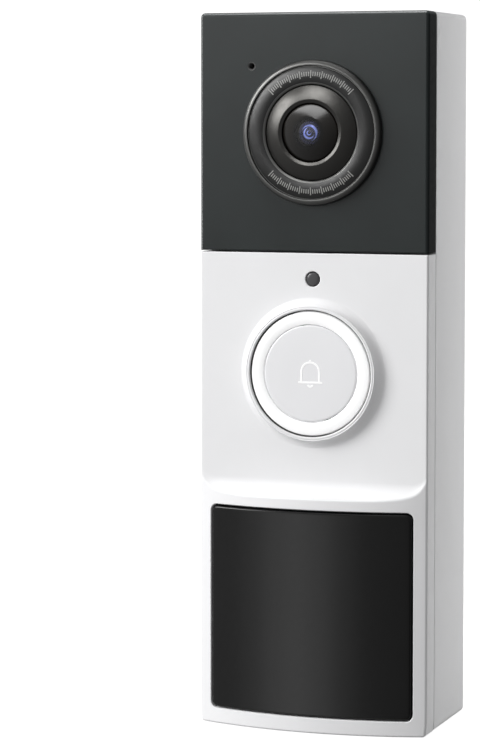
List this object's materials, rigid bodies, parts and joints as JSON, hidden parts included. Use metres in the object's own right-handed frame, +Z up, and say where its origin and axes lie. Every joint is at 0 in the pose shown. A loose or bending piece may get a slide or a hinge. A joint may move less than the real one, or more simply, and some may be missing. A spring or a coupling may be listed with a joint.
{
  "type": "video doorbell",
  "caption": "Slim upright battery doorbell with a dark camera panel, round push button and curved motion sensor window, hooked and latched onto a wall bracket.",
  "frame": {"origin": "centre of the wall bracket's back face, at mid height of the housing", "axes": "+Z up, -Y out of the front towards the visitor, +X to the viewer's right; the wall plane is y = 0"},
  "size_m": [0.05, 0.0344, 0.15],
  "materials": {
    "white_plastic": "fine satin moulding texture",
    "black_plastic": "satin to gloss",
    "dark_ring": "dark anodised satin",
    "grey_metal": "turned, satin",
    "glass": "coated, polished",
    "inner_plastic": "plain moulding",
    "bracket_plastic": "fine spark texture",
    "steel": "bright",
    "cap_plastic": "satin",
    "light_guide": "translucent diffuser",
    "rubber": "matt",
    "silicone": "matt",
    "circuit_board": "solder mask",
    "chip": "moulded package",
    "battery_wrap": "shrink film"
  },
  "bodies": {
    "bracket": {"wall_bracket": "bracket_plastic"},
    "latch": {"release_latch": "steel"},
    "housing": {"rear_housing": "white_plastic", "housing_gasket": "rubber", "housing_screw_top_left": "steel", "housing_screw_top_right": "steel", "housing_screw_middle_left": "steel", "housing_screw_middle_right": "steel", "housing_screw_bottom_left": "steel", "housing_screw_bottom_right": "steel", "front_cover": "white_plastic", "camera_panel": "black_plastic", "lens_bezel": "dark_ring", "lens_cone": "grey_metal", "lens_dome": "glass", "lens_element": "glass", "lens_barrel": "inner_plastic", "lens_holder": "inner_plastic", "image_sensor": "chip", "camera_board": "circuit_board", "camera_screw_upper": "steel", "camera_screw_lower": "steel", "mic_gasket": "rubber", "microphone": "steel", "mic_board": "circuit_board", "tact_switch": "steel", "button_board": "circuit_board", "button_seal": "silicone", "status_window": "black_plastic", "light_sensor": "chip", "pir_window": "black_plastic", "pir_sensor": "steel", "pir_board": "circuit_board", "main_board": "circuit_board", "board_screw_top": "steel", "board_screw_left": "steel", "board_screw_right": "steel", "radio_shield": "steel", "processor": "chip", "wifi_antenna": "circuit_board", "battery_pack": "battery_wrap", "battery_tray": "inner_plastic", "battery_foam": "rubber", "speaker": "inner_plastic", "speaker_gasket": "rubber", "usb_receptacle": "steel", "usb_board": "circuit_board", "sync_switch": "steel", "sync_board": "circuit_board"},
    "button": {"button_cap": "cap_plastic", "light_ring": "light_guide", "button_carrier": "light_guide"},
    "switch_plunger": {"tact_plunger": "inner_plastic"},
    "sync_key": {"sync_button": "rubber"},
    "port_flap": {"port_cover": "rubber"}
  },
  "joints": [
    {"name": "housing_swing", "type": "hinge", "parent": "bracket", "child": "housing", "pos_m": [0, -0.0008, 0.0735], "axis": [-1, 0, 0], "range_deg": [0, 8], "deforming": ["release_latch"]},
    {"name": "latch_flex", "type": "hinge", "parent": "bracket", "child": "latch", "pos_m": [0, -0.0016, -0.0707], "axis": [-1, 0, 0], "range_deg": [0, 10], "stiffness_Nm_per_rad": 0.05, "springref_deg": -2.86},
    {"name": "button_press", "type": "slide", "parent": "housing", "child": "button", "axis": [0, 1, 0], "range_m": [0, 0.0005], "stiffness_N_per_m": 3000, "springref_m": -0.0005},
    {"name": "switch_press", "type": "slide", "parent": "housing", "child": "switch_plunger", "axis": [0, 1, 0], "range_m": [0, 0.0005]},
    {"name": "sync_press", "type": "slide", "parent": "housing", "child": "sync_key", "axis": [0, -1, 0], "range_m": [0, 0.0005], "stiffness_N_per_m": 2000, "springref_m": -0.0005},
    {"name": "port_flap_swing", "type": "hinge", "parent": "housing", "child": "port_flap", "pos_m": [-0.013, -0.0009, -0.0619], "axis": [1, 0, 0], "range_deg": [0, 100]}
  ],
  "couplings": [
    {"joint": "switch_press", "follows": "button_press", "ratio": 1}
  ]
}
